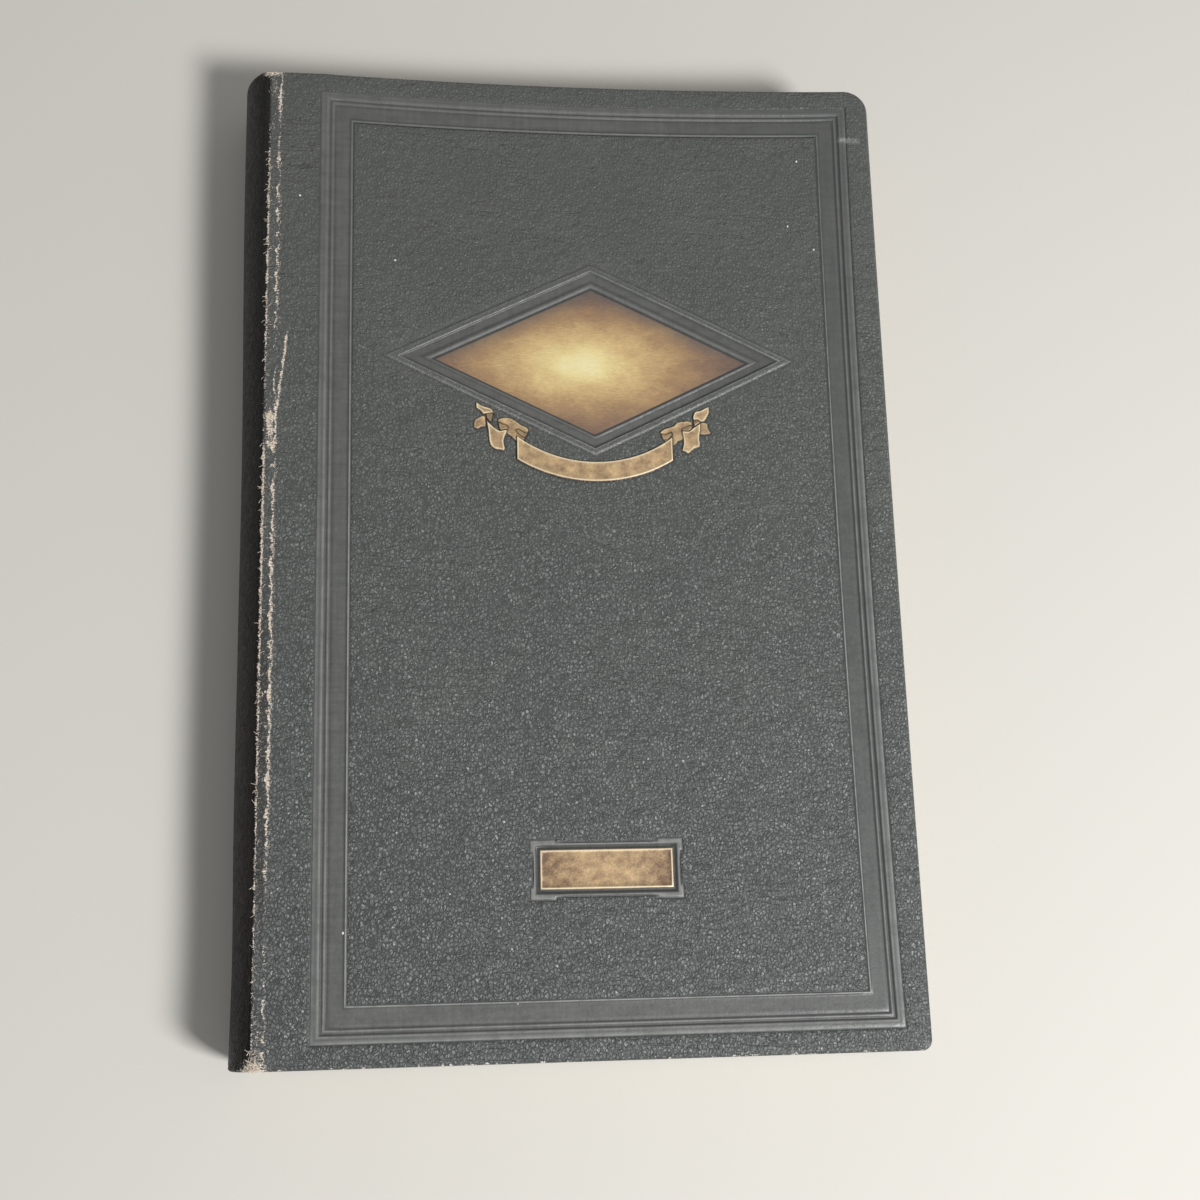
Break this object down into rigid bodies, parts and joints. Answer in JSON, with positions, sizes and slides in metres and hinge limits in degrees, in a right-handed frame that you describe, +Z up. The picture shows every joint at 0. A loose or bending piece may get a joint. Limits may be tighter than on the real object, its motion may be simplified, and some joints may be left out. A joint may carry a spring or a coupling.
{
  "type": "antique case-bound book",
  "caption": "Old closed case-bound book in grained leather over boards, with a rounded spine, embossed border, gilt diamond, ribbon and label, and covers that open.",
  "frame": {"origin": "centre of the closed book's footprint, on the surface that its back cover lies on", "axes": "+X from the spine to the fore-edge, +Y from the tail to the head, +Z up through the front cover"},
  "size_m": [0.1774, 0.27, 0.0284],
  "materials": {
    "page_paper": "cut edges of old rag paper, toned by age",
    "endpaper": "plain uncoated endpaper, toned by age",
    "mull_cloth": "open-weave cotton stiffened with glue",
    "band_cloth": "striped cotton over cord",
    "spine_card": "bare card",
    "binders_board": "bare grey-brown board",
    "spine_leather": "black pebble grain, worn tan along the ridges",
    "cover_leather": "black pebble grain, faded grey, with blind and gilt embossing"
  },
  "bodies": {
    "book_block": {"text_block": "page_paper", "mull": "mull_cloth", "head_band": "band_cloth", "tail_band": "band_cloth", "spine_inlay": "spine_card", "spine_leather": "spine_leather"},
    "front_cover": {"front_board": "binders_board", "front_leather": "cover_leather", "front_mull_flange": "mull_cloth", "front_pastedown": "endpaper"},
    "back_cover": {"back_board": "binders_board", "back_leather": "cover_leather", "back_mull_flange": "mull_cloth", "back_pastedown": "endpaper"}
  },
  "joints": [
    {"name": "front_joint", "type": "hinge", "parent": "book_block", "child": "front_cover", "pos_m": [-0.079, 0, 0.02815], "axis": [0, -1, 0], "range_deg": [0, 178]},
    {"name": "back_joint", "type": "hinge", "parent": "book_block", "child": "back_cover", "pos_m": [-0.079, 0, -0.00015], "axis": [0, 1, 0], "range_deg": [0, 178]}
  ]
}
